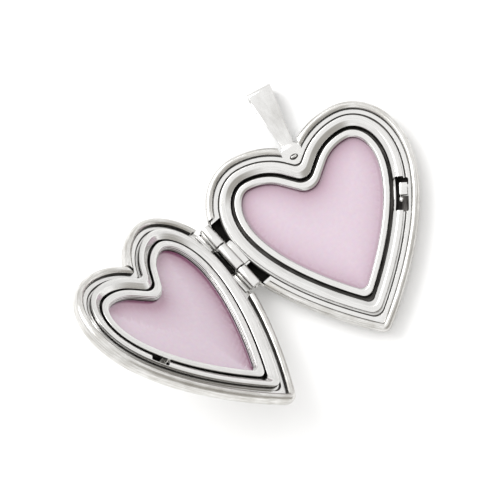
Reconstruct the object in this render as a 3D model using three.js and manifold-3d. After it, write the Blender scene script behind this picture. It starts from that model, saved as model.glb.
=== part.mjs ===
// Heart locket, opened like a book. Millimetres, +Z up. The rear half lies on its back on z = 0 and
// the front half (the cover) is turned about the hinge on the left side of the heart.
// Each half is a domed shell whose edge is curled over the rim of a pressed inner plate; the plate
// has a raised lip and a shallow well, where a frame ring holds a tinted film over the picture.
import * as THREE from "three";
import { mergeVertices } from "three/addons/utils/BufferGeometryUtils.js";
import Module from "manifold-3d";

const wasm = await Module();
wasm.setup();

// ---- Heart outline: half of it, from the cleft at the top round to the tip at the bottom ----
const heartWidth = 20; // across both lobes
const lobeTopX = heartWidth / 4; // highest point of a lobe, from the middle line
const lobeTopY = 10.6;
const cleftY = 8.6; // bottom of the cleft between the lobes
const widestY = 4.65; // height of the widest point
const tipY = -10.9; // where the two sides would meet in a point
const shoulderTopPull = 2.75; // how flat the curve leaves the lobe top
const shoulderSidePull = 3.6; // how upright it arrives at the widest point
const sidePull = 6.1; // how upright the side leaves the widest point
const tipPull = 3.9; // how straight the side runs into the tip
const tipHalfAngle = 51; // degrees between the side and the middle line at the tip
const tipRadius = 0.75; // rounding of the outside of the tip
const cleftRadius = 0.05; // rounding of the outside of the cleft
const cleftEase = 0.45; // how much rounder the cleft gets for each mm inside the outline

// ---- Depths, measured down from the plane where the two halves meet ----
const meetGap = 0.03; // each half stops this far short of the meeting plane
const wallDepth = 0.8; // straight side wall of a shell ends here
const domeRise = 1.45; // and the domed back goes this much deeper
const domeReach = 0.175 * heartWidth; // width of the dome's curve, up to its flat middle
const halfDepth = wallDepth + domeRise;
const shellSheet = 0.22; // thickness of the shell's sheet metal
const curlWidth = 0.79; // width of the curled edge

// ---- Inner plate ----
const plateSheet = 0.18; // thickness of the plate's sheet metal
const flangeGap = 0.03; // between the curl's edge and the flat rim under it
const curlEdge = 0.075; // how far the curl's edge comes down past the middle of the curl
const flangeDepth = meetGap + curlWidth / 2 + curlEdge; // depth of the flat rim
const plateEdge = 0.3; // the plate's own edge, inside the shell wall
const rimShown = 0.47; // flat rim seen inside the curl
const grooveStart = curlWidth + rimShown; // fine groove at the foot of the lip
const grooveWidth = 0.17;
const grooveDepth = 0.1; // below the flat rim
const lipTop = 0.05; // top of the raised lip
const lipFlat = 0.42; // width of its flat top
const lipBevel = 0.5; // width of the slope inside it
const lipBevelDrop = 0.34;
const wellDepth = 1.1; // floor of the picture well
const plateTip = 0.95; // rounding of the lip at the tip

// ---- Frame ring and film ----
const frameGap = 0.4; // between the wall of the well and the frame ring
const frameFace = 0.59; // width of the ring's flat face
const frameSheet = 0.14; // thickness of the ring's sheet metal
const frameTop = 0.32; // depth of its face
const frameInnerDrop = 0.52; // height of its inner wall
const frameTip = 0.8; // rounding of the ring at the tip
const filmSheet = 0.12; // thickness of the film
const snug = 0.04; // clearance round a part that is pushed into place

// ---- Hinge: three knuckles on one pin, its axis in the meeting plane ----
const hingeX = 0.52 - heartWidth / 2; // middle of the hinge, a little inside the widest point
const hingeY = 2.13;
const hingeLean = 14.2; // degrees that the axis leans over from the heart's middle line
const openAngle = 136.8; // how far the cover is opened
const knuckleRadius = 0.6;
const middleKnuckle = 2.7; // length of the middle knuckle
const outerKnuckle = 2.25; // length of each outer knuckle
const knuckleGap = 0.05; // between two knuckles
const pinRadius = 0.22;
const pinFit = 0.03; // running clearance of the pin in a knuckle
const pinHead = 0.14; // how far the pin's rounded ends stand out
const leafReach = 1.15; // how far a leaf reaches in from the hinge axis
const leafSheet = 0.18; // thickness of a leaf
const hingeCut = 8; // length of the curl that is cut away beside the hinge
const hingeRoom = 0.08; // clearance round a knuckle

// ---- Bail and its staple ----
const bailLength = 6.5; // from the eye to the top of the loop
const bailNeck = 1.15; // width at the eye
const bailTop = 2.48; // width at the top
const bailSheet = 0.2; // thickness of the strap
const bailNeckStart = 0.5; // the two layers lie together from here
const bailNeckEnd = 1.3; // and open out again from here
const bailLoop = 1.1; // radius of the loop that takes a chain
const stapleWire = 0.14; // radius of the staple's wire
const eyeFit = 0.05; // running clearance of the eye on the wire
const stapleOut = 0.15; // how far the wire lies out from the bottom of the cleft
const stapleDepth = flangeDepth + plateSheet + 0.4; // leaves room for the eye under the tab
const notchWidth = 1.95; // notch in the curl at the cleft
const tabReach = 0.68; // how far the plate's tab stands out from the bottom of the cleft
const tabWidth = 1.7;
const pegWidth = 0.8; // small oval peg at the root of the tab
const pegLength = 0.55;
const pegHeight = 0.13;
const pegIn = 0.62; // how far it lies in from the bottom of the cleft
const solder = 0.02; // film of solder between soldered pieces

// ---- Catch ----
const catchAt = 2.28; // place on the outline: 2 is the widest point, 3 the tip
const catchSlot = 2.9; // length of the gap in the lip
const catchWidth = 1.1; // width of the spring tongue
const lugWidth = 0.8; // width of the lug that presses against it
const catchSheet = 0.17;
const catchFit = 0.05;

// Steps along each part of an outline.
const cleftSteps = 3;
const bodySteps = 26;
const tipSteps = 4;

const rad = THREE.MathUtils.degToRad;
const up = new THREE.Vector3(0, 0, 1);

// Lobe: one arc from the bottom of the cleft to the top of the lobe.
const lobeRise = lobeTopY - cleftY;
const lobeRadius = (lobeTopX ** 2 + lobeRise ** 2) / (2 * lobeRise);
const lobeCentre = new THREE.Vector2(lobeTopX, lobeTopY - lobeRadius);
const lobeStart = Math.atan2(cleftY - lobeCentre.y, -lobeTopX);
const widest = new THREE.Vector2(heartWidth / 2, widestY);
const shoulder = new THREE.CubicBezierCurve(
  new THREE.Vector2(lobeTopX, lobeTopY),
  new THREE.Vector2(lobeTopX + shoulderTopPull, lobeTopY),
  new THREE.Vector2(widest.x, widest.y + shoulderSidePull),
  widest,
);
const side = new THREE.CubicBezierCurve(
  widest,
  new THREE.Vector2(widest.x, widest.y - sidePull),
  new THREE.Vector2(tipPull * Math.sin(rad(tipHalfAngle)), tipY + tipPull * Math.cos(rad(tipHalfAngle))),
  new THREE.Vector2(0, tipY),
);

// Point and inward normal of the half outline: below 0 its tangent carried on past the cleft,
// 0 to 1 the lobe, 1 to 2 the shoulder, 2 to 3 the side.
function outlineAt(t) {
  const p = new THREE.Vector2();
  const along = new THREE.Vector2();
  if (t < 1) {
    const a = lobeStart + (Math.PI / 2 - lobeStart) * Math.max(t, 0);
    p.set(Math.cos(a), Math.sin(a)).multiplyScalar(lobeRadius).add(lobeCentre);
    along.set(Math.sin(a), -Math.cos(a));
    p.addScaledVector(along, Math.min(t, 0) * lobeRadius);
  } else {
    const curve = t < 2 ? shoulder : side;
    const s = Math.min(t < 2 ? t - 1 : t - 2, 1);
    curve.getPoint(s, p);
    curve.getTangent(s, along);
  }
  return { p, inward: new THREE.Vector2(along.y, -along.x) };
}

// Where the outline, moved inwards, crosses the middle line between two places on it.
function crossing(inset, from, to) {
  let [a, b] = [from, to];
  const offMiddle = (t) => {
    const { p, inward } = outlineAt(t);
    return p.x + inset * inward.x;
  };
  const sign = Math.sign(offMiddle(a));
  for (let i = 0; i < 30; i++) {
    const middle = (a + b) / 2;
    if (Math.sign(offMiddle(middle)) === sign) a = middle;
    else b = middle;
  }
  return (a + b) / 2;
}

// The whole heart, moved inwards by inset, with its cleft and tip rounded.
function heart(inset, tip) {
  const cleft = cleftRadius + cleftEase * inset;
  const start = crossing(inset - cleft, -1, 0.9);
  const end = crossing(inset + tip, 2.3, 3);
  const right = [];
  const first = outlineAt(start);
  const cleftCentre = first.p.clone().addScaledVector(first.inward, inset - cleft);
  const cleftTurn = first.inward.angle() - 1.5 * Math.PI;
  for (let i = 0; i < cleftSteps; i++) {
    const a = -Math.PI / 2 + (cleftTurn * i) / cleftSteps;
    right.push(new THREE.Vector2(Math.cos(a), Math.sin(a)).multiplyScalar(cleft).add(cleftCentre));
  }
  for (let i = 0; i < bodySteps; i++) {
    const { p, inward } = outlineAt(start + ((end - start) * i) / bodySteps);
    right.push(p.addScaledVector(inward, inset));
  }
  const last = outlineAt(end);
  const tipCentre = last.p.clone().addScaledVector(last.inward, inset + tip);
  const tipStart = last.inward.angle() - Math.PI;
  for (let i = 0; i <= tipSteps; i++) {
    const a = tipStart + ((-Math.PI / 2 - tipStart) * i) / tipSteps;
    right.push(new THREE.Vector2(Math.cos(a), Math.sin(a)).multiplyScalar(tip).add(tipCentre));
  }
  const left = right.slice(1, -1).reverse().map((p) => new THREE.Vector2(-p.x, p.y));
  return [...right, ...left];
}

// A closed body from rows of [inset, depth, tip radius]. A ring's rows close on themselves; a cup's
// rows run from the middle of its underside, round its edge, to the middle of its inside.
function sweepHeart(rows, isRing) {
  const positions = [];
  const faces = [];
  const outlines = rows.map(([inset, , tip]) => heart(inset, tip));
  const n = outlines[0].length;
  outlines.forEach((outline, i) => {
    for (const p of outline) positions.push(p.x, p.y, halfDepth - rows[i][1]);
  });
  for (let r = 0; r < (isRing ? rows.length : rows.length - 1); r++) {
    const low = r * n;
    const high = ((r + 1) % rows.length) * n;
    for (let i = 0; i < n; i++) {
      const j = (i + 1) % n;
      faces.push(low + i, high + i, high + j, low + i, high + j, low + j);
    }
  }
  if (!isRing) {
    const top = (rows.length - 1) * n;
    for (const [a, b, c] of THREE.ShapeUtils.triangulateShape(outlines[0], [])) {
      faces.push(a, c, b);
    }
    for (const [a, b, c] of THREE.ShapeUtils.triangulateShape(outlines.at(-1), [])) {
      faces.push(top + a, top + b, top + c);
    }
  }
  const g = new THREE.BufferGeometry();
  g.setAttribute("position", new THREE.Float32BufferAttribute(positions, 3));
  g.setIndex(faces);
  return g;
}

// Joining and cutting.
function toSolid(geometry) {
  const bare = new THREE.BufferGeometry();
  bare.setAttribute("position", geometry.getAttribute("position"));
  if (geometry.index) bare.setIndex(geometry.index);
  const g = mergeVertices(bare, 1e-4);
  return new wasm.Manifold(
    new wasm.Mesh({
      numProp: 3,
      vertProperties: g.getAttribute("position").array,
      triVerts: new Uint32Array(g.index.array),
    }),
  );
}

function toGeometry(solid) {
  const mesh = solid.getMesh();
  const g = new THREE.BufferGeometry();
  g.setAttribute("position", new THREE.Float32BufferAttribute(mesh.vertProperties, 3));
  g.setIndex(Array.from(mesh.triVerts));
  return g;
}

function joined(first, ...others) {
  return toGeometry(others.reduce((solid, g) => solid.add(toSolid(g)), toSolid(first)));
}

function cut(body, ...tools) {
  return toGeometry(tools.reduce((solid, g) => solid.subtract(toSolid(g)), toSolid(body)));
}

// A block given by its two ends in each direction.
function block([x0, x1], [y0, y1], [z0, z1]) {
  const g = new THREE.BoxGeometry(x1 - x0, y1 - y0, z1 - z0);
  return g.translate((x0 + x1) / 2, (y0 + y1) / 2, (z0 + z1) / 2);
}

// ---- Shell ----
function domeTip(inset) {
  return tipRadius + 0.35 * inset;
}

function curlTip(inset) {
  return Math.max(tipRadius - 0.85 * inset, 0.08);
}

function shell() {
  const rows = [];
  const domeSteps = 7;
  for (let i = domeSteps; i >= 1; i--) {
    const a = ((Math.PI / 2) * i) / domeSteps;
    const inset = domeReach * (1 - Math.cos(a));
    rows.push([inset, wallDepth + domeRise * Math.sin(a), domeTip(inset)]);
  }
  rows.push([0, wallDepth, tipRadius]);
  const curlRadius = curlWidth / 2;
  const curlCentre = meetGap + curlRadius;
  const curlSteps = 7;
  for (let i = 0; i <= curlSteps; i++) {
    const a = (Math.PI * i) / curlSteps;
    const inset = curlRadius * (1 - Math.cos(a));
    rows.push([inset, curlCentre - curlRadius * Math.sin(a), curlTip(inset)]);
  }
  rows.push([curlWidth, flangeDepth - flangeGap, curlTip(curlWidth)]);
  rows.push([curlWidth - shellSheet, flangeDepth - flangeGap, curlTip(curlWidth - shellSheet)]);
  const hollow = curlRadius - shellSheet;
  const hollowSteps = 4;
  for (let i = hollowSteps; i >= 0; i--) {
    const a = (Math.PI * i) / hollowSteps;
    const inset = curlRadius - hollow * Math.cos(a);
    rows.push([inset, curlCentre - hollow * Math.sin(a), curlTip(inset)]);
  }
  const insideSteps = 5;
  for (let i = 0; i <= insideSteps; i++) {
    const a = ((Math.PI / 2) * i) / insideSteps;
    const inset = domeReach - (domeReach - shellSheet) * Math.cos(a);
    rows.push([inset, wallDepth + (domeRise - shellSheet) * Math.sin(a), domeTip(inset) - shellSheet]);
  }
  return sweepHeart(rows, false);
}

// ---- Inner plate ----
const lipStart = grooveStart + grooveWidth;
const lipFlatEnd = lipStart + 0.06 + lipFlat;
const wellEdge = lipFlatEnd + lipBevel;

function innerPlate() {
  const t = plateSheet;
  const groove = flangeDepth + grooveDepth;
  const wellTip = plateTip - (wellEdge - lipStart) * 0.4;
  const rows = [
    [wellEdge - t, wellDepth + t, wellTip],
    [wellEdge - t, lipTop + lipBevelDrop + 0.25, wellTip],
    [wellEdge - t * 1.3, lipTop + lipBevelDrop + t * 0.6, wellTip],
    [lipFlatEnd - 0.06, lipTop + t, plateTip - 0.25],
    [lipStart + t, lipTop + t, plateTip - 0.08],
    [lipStart + t, groove + t, plateTip - 0.08],
    [grooveStart - 0.1, groove + t, plateTip],
    [grooveStart - 0.14, flangeDepth + t, plateTip],
    [plateEdge, flangeDepth + t, curlTip(plateEdge)],
    [plateEdge, flangeDepth, curlTip(plateEdge)],
    [grooveStart, flangeDepth, plateTip],
    [grooveStart + 0.04, groove, plateTip],
    [lipStart - 0.03, groove, plateTip],
    [lipStart, lipTop + 0.12, plateTip],
    [lipStart + 0.02, lipTop + 0.03, plateTip],
    [lipStart + 0.06, lipTop, plateTip],
    [lipFlatEnd, lipTop, plateTip - 0.2],
    [wellEdge - 0.12, lipTop + lipBevelDrop * 0.62, wellTip + 0.05],
    [wellEdge - 0.02, lipTop + lipBevelDrop, wellTip],
    [wellEdge, lipTop + lipBevelDrop + 0.14, wellTip],
    [wellEdge, wellDepth, wellTip],
  ];
  return sweepHeart(rows, false);
}

// ---- Frame ring: an upturned channel, pushed into the well over the film ----
const frameOuter = wellEdge + frameGap;
const frameInner = frameOuter + frameFace;

function frameRing() {
  const t = frameSheet;
  const outerFoot = wellDepth - flangeGap;
  const innerFoot = frameTop + frameInnerDrop;
  return sweepHeart(
    [
      [frameOuter, outerFoot, frameTip],
      [frameOuter, frameTop + 0.05, frameTip],
      [frameOuter + 0.05, frameTop, frameTip],
      [frameInner - 0.05, frameTop, frameTip - 0.15],
      [frameInner, frameTop + 0.05, frameTip - 0.15],
      [frameInner, innerFoot, frameTip - 0.15],
      [frameInner - t, innerFoot, frameTip - 0.12],
      [frameInner - t, frameTop + t, frameTip - 0.12],
      [frameOuter + t, frameTop + t, frameTip - 0.03],
      [frameOuter + t, outerFoot, frameTip - 0.03],
    ],
    true,
  );
}

function film() {
  const inset = frameOuter + frameSheet + snug;
  const top = frameTop + frameInnerDrop + flangeGap;
  return sweepHeart(
    [
      [inset, top + filmSheet, frameTip - 0.05],
      [inset, top, frameTip - 0.05],
    ],
    false,
  );
}

// ---- Hinge, made along x with its axis on the origin; +y is away from the heart, +z is up ----
const hingePlace = new THREE.Matrix4()
  .makeTranslation(hingeX, hingeY, halfDepth)
  .multiply(new THREE.Matrix4().makeRotationZ(rad(90 + hingeLean)));
const middleHalf = middleKnuckle / 2;
const hingeEnd = middleHalf + knuckleGap + outerKnuckle;

function rod(radius, [x0, x1]) {
  const g = new THREE.CylinderGeometry(radius, radius, x1 - x0, 28);
  return g.rotateZ(-Math.PI / 2).translate((x0 + x1) / 2, 0, 0);
}

function knuckle([x0, x1]) {
  const top = -(flangeDepth - flangeGap) + leafSheet;
  const leaf = block([x0 + 0.1, x1 - 0.1], [-leafReach, -0.2], [top - leafSheet, top]);
  const bore = rod(pinRadius + pinFit, [x0 - 1, x1 + 1]);
  return cut(joined(rod(knuckleRadius, [x0, x1]), leaf), bore).applyMatrix4(hingePlace);
}

function hingePin() {
  const ends = hingeEnd + pinHead;
  const profile = [new THREE.Vector2(0, -ends)];
  const headSteps = 4;
  for (let i = 1; i <= headSteps; i++) {
    const a = ((Math.PI / 2) * i) / headSteps;
    profile.push(new THREE.Vector2(pinRadius * Math.sin(a), -ends + pinHead * (1 - Math.cos(a))));
  }
  const mirrored = profile.map((p) => new THREE.Vector2(p.x, -p.y)).reverse();
  const g = new THREE.LatheGeometry([...profile, ...mirrored], 24);
  return g.rotateZ(-Math.PI / 2).applyMatrix4(hingePlace);
}

// The curl and the wall below it are cut away along the hinge.
function shellHingeCut() {
  const g = block([-hingeCut / 2, hingeCut / 2], [-2.2, 2], [-(knuckleRadius + 0.2), 1]);
  return g.applyMatrix4(hingePlace);
}

// The plate's rim is cut back beside the other half's knuckles, and cleared round its own.
function plateHingeCuts(otherKnuckles) {
  const room = knuckleRadius + hingeRoom;
  const clear = rod(room, [-hingeEnd - 0.2, hingeEnd + 0.2]).applyMatrix4(hingePlace);
  const beside = otherKnuckles.map(([x0, x1]) => {
    return block([x0, x1], [-room, 3], [-1.2, 1]).applyMatrix4(hingePlace);
  });
  return [clear, ...beside];
}

const middleSpan = [-middleHalf, middleHalf];
const upperSpan = [middleHalf + knuckleGap, hingeEnd];
const lowerSpan = [-hingeEnd, -middleHalf - knuckleGap];

// ---- Cleft: the notch in the curl, and the tab with the bail's staple below it ----
function notch(inwards, depth) {
  const z = [halfDepth - depth, halfDepth + 1];
  return block([-notchWidth / 2, notchWidth / 2], [cleftY - inwards, cleftY + 3], z);
}

const curlNotch = notch(2 * curlWidth, flangeDepth - flangeGap / 2);
const bailNotch = notch(0.6, 1.55);

const stapleY = cleftY + stapleOut;
const stapleZ = halfDepth - stapleDepth;
const eyeRadius = stapleWire + eyeFit;
const neckHalf = bailNeck / 2;
const stapleHalf = neckHalf + knuckleGap + stapleWire;

// The tab is a tongue of the plate's rim with a round end.
function plateTab() {
  const shape = new THREE.Shape();
  const half = tabWidth / 2;
  const end = cleftY + tabReach;
  shape.moveTo(-half, cleftY - 1);
  shape.lineTo(half, cleftY - 1);
  shape.lineTo(half, end - 0.3);
  shape.quadraticCurveTo(half * 0.9, end, 0, end);
  shape.quadraticCurveTo(-half * 0.9, end, -half, end - 0.3);
  const settings = { depth: plateSheet, bevelEnabled: false, curveSegments: 6 };
  const g = new THREE.ExtrudeGeometry(shape, settings);
  return g.translate(0, 0, halfDepth - flangeDepth - plateSheet);
}

// A bent wire, its two ends soldered to the underside of the tab.
function staple() {
  const top = halfDepth - flangeDepth - plateSheet - solder;
  const bend = 0.16;
  const path = new THREE.CurvePath();
  const point = (x, z) => new THREE.Vector3(x, stapleY, z);
  path.add(new THREE.LineCurve3(point(-stapleHalf, top), point(-stapleHalf, stapleZ + bend)));
  path.add(
    new THREE.QuadraticBezierCurve3(
      point(-stapleHalf, stapleZ + bend),
      point(-stapleHalf, stapleZ),
      point(-stapleHalf + bend, stapleZ),
    ),
  );
  path.add(new THREE.LineCurve3(point(-stapleHalf + bend, stapleZ), point(stapleHalf - bend, stapleZ)));
  path.add(
    new THREE.QuadraticBezierCurve3(
      point(stapleHalf - bend, stapleZ),
      point(stapleHalf, stapleZ),
      point(stapleHalf, stapleZ + bend),
    ),
  );
  path.add(new THREE.LineCurve3(point(stapleHalf, stapleZ + bend), point(stapleHalf, top)));
  const rim = new THREE.Shape().absarc(0, 0, stapleWire, 0, 2 * Math.PI, false);
  return new THREE.ExtrudeGeometry(rim, { steps: 26, extrudePath: path, curveSegments: 7 });
}

// ---- Bail: a tapered strap folded over into a loop, its two ends closed round the staple ----
function bail() {
  const t = bailSheet;
  const outerEye = eyeRadius + t;
  const loopY = bailLength - bailLoop;
  const bend = rad(35);
  const shape = new THREE.Shape();
  shape.moveTo(bailNeckStart, -t);
  shape.absarc(0, 0, outerEye, -bend, bend - 2 * Math.PI, true);
  shape.lineTo(bailNeckStart, t);
  shape.lineTo(bailNeckEnd, t);
  shape.bezierCurveTo(bailNeckEnd + 0.9, t, loopY - 1.6, bailLoop, loopY, bailLoop);
  shape.absarc(loopY, 0, bailLoop, Math.PI / 2, -Math.PI / 2, true);
  shape.bezierCurveTo(loopY - 1.6, -bailLoop, bailNeckEnd + 0.9, -t, bailNeckEnd, -t);
  const r = bailLoop - t;
  const split = bailNeckEnd + 0.5;
  const hole = new THREE.Path();
  hole.moveTo(split, 0);
  hole.bezierCurveTo(split + 0.7, 0, loopY - 1.5, -r, loopY, -r);
  hole.absarc(loopY, 0, r, -Math.PI / 2, Math.PI / 2, false);
  hole.bezierCurveTo(loopY - 1.5, r, split + 0.7, 0, split, 0);
  const eye = new THREE.Path();
  eye.absarc(0, 0, eyeRadius, 0, 2 * Math.PI, false);
  shape.holes.push(hole, eye);
  const g = new THREE.ExtrudeGeometry(shape, { depth: 1, bevelEnabled: false, curveSegments: 10 });
  g.translate(0, 0, -0.5);
  const at = g.getAttribute("position");
  for (let i = 0; i < at.count; i++) {
    const share = Math.max(0, (at.getX(i) - outerEye) / (bailLength - outerEye));
    const width = bailNeck + (bailTop - bailNeck) * share;
    at.setXYZ(i, at.getZ(i) * width, at.getX(i), at.getY(i));
  }
  return g.translate(0, stapleY, stapleZ);
}

// A low oval head, soldered on the tab's root.
function peg() {
  const profile = [new THREE.Vector2(0, 0)];
  const steps = 6;
  for (let i = 0; i <= steps; i++) {
    const a = ((Math.PI / 2) * i) / steps;
    profile.push(new THREE.Vector2(0.5 * Math.cos(a), pegHeight * Math.sin(a)));
  }
  const g = new THREE.LatheGeometry(profile, 20).rotateX(Math.PI / 2).scale(pegWidth, pegLength, 1);
  return g.translate(0, cleftY - pegIn, halfDepth - flangeDepth + solder);
}

// ---- Catch, in a frame at its place on the side: x runs along the side, y inwards ----
const catchHome = outlineAt(catchAt);
const catchPlace = new THREE.Matrix4()
  .makeTranslation(catchHome.p.x, catchHome.p.y, halfDepth)
  .multiply(new THREE.Matrix4().makeRotationZ(catchHome.inward.angle() - Math.PI / 2));
const slotOuter = grooveStart - 0.14;
const tongueY = lipStart + 0.3;

function lipSlot() {
  const g = block([-catchSlot / 2, catchSlot / 2], [slotOuter, wellEdge + 0.1], [-0.95, 1]);
  return g.applyMatrix4(catchPlace);
}

// A strip soldered under the rim, turned up through the gap and over towards the edge.
function tongue() {
  const s = catchSheet;
  const half = catchWidth / 2;
  const under = flangeDepth + plateSheet + 0.03;
  const foot = block([-half, half], [0.5, tongueY + s], [-under - s, -under]);
  const post = block([-half, half], [tongueY, tongueY + s], [-under - s, -meetGap * 2]);
  const head = block([-half, half], [slotOuter + 0.1, tongueY + s], [-meetGap * 2 - s, -meetGap * 2]);
  return joined(foot, post, head).applyMatrix4(catchPlace);
}

// The lug on the cover drops in behind the tongue when the locket shuts.
function lug() {
  const s = catchSheet;
  const half = lugWidth / 2;
  const under = flangeDepth + plateSheet + 0.03;
  const y = tongueY + s + catchFit;
  const foot = block([-half, half], [0.5, y + s], [-under - s, -under]);
  const post = block([-half, half], [y, y + s], [-under - s, 0.3]);
  return joined(foot, post).applyMatrix4(catchPlace);
}

// ---- Assembly ----
// The cover is the same half turned over onto the meeting plane and swung open about the hinge.
const axis = new THREE.Vector3(Math.sin(rad(hingeLean)), -Math.cos(rad(hingeLean)), 0);
const hingePoint = new THREE.Vector3(hingeX, hingeY, halfDepth);
const swing = new THREE.Matrix4()
  .makeTranslation(hingePoint)
  .multiply(new THREE.Matrix4().makeRotationAxis(axis, rad(openAngle)))
  .multiply(new THREE.Matrix4().makeTranslation(hingePoint.clone().negate()));
const turnOver = new THREE.Matrix4()
  .makeTranslation(up.clone().multiplyScalar(2 * halfDepth))
  .multiply(new THREE.Matrix4().makeScale(1, 1, -1));

function flipped(geometry) {
  const g = geometry.index ? geometry.toNonIndexed() : geometry.clone();
  g.applyMatrix4(turnOver);
  const at = g.getAttribute("position");
  for (let i = 0; i < at.count; i += 3) {
    const [x, y, z] = [at.getX(i), at.getY(i), at.getZ(i)];
    at.setXYZ(i, at.getX(i + 2), at.getY(i + 2), at.getZ(i + 2));
    at.setXYZ(i + 2, x, y, z);
  }
  return g;
}

const rear = new THREE.Group();
const front = new THREE.Group();
front.applyMatrix4(swing);

function add(group, name, geometry, colour, roughness, metalness) {
  const g = mergeVertices(geometry.deleteAttribute("uv").deleteAttribute("normal"), 1e-4);
  g.computeVertexNormals();
  const mesh = new THREE.Mesh(
    g,
    new THREE.MeshStandardMaterial({ color: colour, roughness, metalness }),
  );
  mesh.name = name;
  group.add(mesh);
}

const silver = [0xd9d9d6, 0.16, 1];
const filmColour = [0xdccadc, 0.55, 0];
const plate = innerPlate();
const ring = frameRing();
const window = film();

add(rear, "rear_shell", cut(shell(), shellHingeCut(), curlNotch, bailNotch), ...silver);
add(
  rear,
  "rear_inner_plate",
  cut(joined(plate, plateTab()), ...plateHingeCuts([upperSpan, lowerSpan]), lipSlot()),
  ...silver,
);
add(rear, "rear_photo_frame", ring.clone(), ...silver);
add(rear, "rear_film", window.clone(), ...filmColour);
add(rear, "rear_knuckle", knuckle(middleSpan), ...silver);
add(rear, "catch_tongue", tongue(), ...silver);
add(rear, "bail_staple", staple(), ...silver);
add(rear, "bail_peg", peg(), ...silver);
add(rear, "bail_strap", bail(), ...silver);

add(front, "front_shell", flipped(cut(shell(), shellHingeCut(), curlNotch)), ...silver);
add(
  front,
  "front_inner_plate",
  flipped(cut(plate, ...plateHingeCuts([middleSpan]), lipSlot())),
  ...silver,
);
add(front, "front_photo_frame", flipped(ring), ...silver);
add(front, "front_film", flipped(window), ...filmColour);
add(front, "front_knuckle_upper", flipped(knuckle(upperSpan)), ...silver);
add(front, "front_knuckle_lower", flipped(knuckle(lowerSpan)), ...silver);
add(front, "hinge_pin", flipped(hingePin()), ...silver);
add(front, "catch_lug", flipped(lug()), ...silver);

const locket = new THREE.Group();
locket.name = "heart_locket";
locket.add(rear, front);

export default locket;
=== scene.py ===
import math

import bmesh
import bpy
from mathutils import Matrix, Vector, kdtree


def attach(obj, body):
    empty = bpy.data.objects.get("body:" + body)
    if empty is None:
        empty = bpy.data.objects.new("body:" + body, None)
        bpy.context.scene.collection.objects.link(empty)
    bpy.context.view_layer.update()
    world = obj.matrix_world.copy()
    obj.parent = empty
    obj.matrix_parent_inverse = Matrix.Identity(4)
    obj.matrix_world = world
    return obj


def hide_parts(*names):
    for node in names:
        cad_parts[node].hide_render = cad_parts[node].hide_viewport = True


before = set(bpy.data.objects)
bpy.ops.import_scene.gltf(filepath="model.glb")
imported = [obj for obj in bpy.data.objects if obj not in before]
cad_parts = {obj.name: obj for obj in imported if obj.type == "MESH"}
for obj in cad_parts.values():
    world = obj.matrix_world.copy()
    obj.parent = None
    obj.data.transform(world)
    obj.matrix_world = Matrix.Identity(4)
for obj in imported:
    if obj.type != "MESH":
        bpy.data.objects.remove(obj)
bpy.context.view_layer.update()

# ---------------------------------------------------------------------------------------------
# Shells. The two domed backs are pressed from silver sheet, and their edges are curled inwards
# over the rims of the inner plates. The curl is cut away along the hinge and at the cleft.
# ---------------------------------------------------------------------------------------------
MM = 0.001  # sizes are in millimetres, and depths run down from where the halves meet
LOBE_TOP = Vector((5.0, 10.6))  # highest point of the right lobe
CLEFT_Y = 8.6  # bottom of the cleft
WIDEST = Vector((10.0, 4.65))  # furthest point out on the right
TIP_Y = -10.9
TIP_LEAN = 51  # degrees between each side and the level, at the tip
TIP_RADIUS = 0.75
LOBE_PULL = 2.75  # how strongly each curve keeps its direction at its ends
SHOULDER_PULL = 3.6
SIDE_PULL = 6.1
TIP_PULL = 3.9
CLEFT_RADIUS = 0.05
CLEFT_GROWTH = 0.45  # how much rounder the cleft becomes for each millimetre inwards
HALF_DEPTH = 2.25
WALL_DEPTH = 0.8  # where the straight wall turns into the dome
DOME_RISE = 1.45
DOME_REACH = 3.5  # how far in from the edge the dome is curved
DOME_TIP_GROWTH = 0.35
MEET_GAP = 0.03  # between a curl and the meeting plane
SHELL_SHEET = 0.22
CURL_WIDTH = 0.79
CURL_TIP_LOSS = 0.85
SHARPEST = 0.08
RIM_DEPTH = 0.5
RIM_GAP = 0.03
BODY_STEPS = 150
CLEFT_STEPS = 8
TIP_STEPS = 12
DOME_STEPS = 22
INNER_DOME_STEPS = 14
CURL_STEPS = 20
INNER_CURL_STEPS = 10
HOLD_BACK = 0.035  # the shells' outside stays this far inside the solid's outline

lobe_rise = LOBE_TOP.y - CLEFT_Y
lobe_radius = (LOBE_TOP.x**2 + lobe_rise**2) / (2 * lobe_rise)
lobe_centre = Vector((LOBE_TOP.x, LOBE_TOP.y - lobe_radius))
lobe_start = math.atan2(CLEFT_Y - lobe_centre.y, -LOBE_TOP.x)
tip_lean = math.radians(TIP_LEAN)
shoulder = [
    LOBE_TOP,
    LOBE_TOP + Vector((LOBE_PULL, 0)),
    WIDEST + Vector((0, SHOULDER_PULL)),
    WIDEST,
]
side = [
    WIDEST,
    WIDEST - Vector((0, SIDE_PULL)),
    Vector((TIP_PULL * math.sin(tip_lean), TIP_Y + TIP_PULL * math.cos(tip_lean))),
    Vector((0, TIP_Y)),
]


def outline_at(t):
    """Point and inward normal of the right half: lobe to 1, shoulder to 2, side to 3."""
    if t < 1:
        angle = lobe_start + (math.pi / 2 - lobe_start) * max(t, 0)
        along = Vector((math.sin(angle), -math.cos(angle)))
        point = lobe_centre + lobe_radius * Vector((math.cos(angle), math.sin(angle)))
        point = point + along * min(t, 0) * lobe_radius
    else:
        a, b, c, d = shoulder if t < 2 else side
        s = min(t - 1 if t < 2 else t - 2, 1)
        r = 1 - s
        point = a * r**3 + b * 3 * r * r * s + c * 3 * r * s * s + d * s**3
        along = ((b - a) * r * r + (c - b) * 2 * r * s + (d - c) * s * s).normalized()
    return point, Vector((along.y, -along.x))


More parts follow.
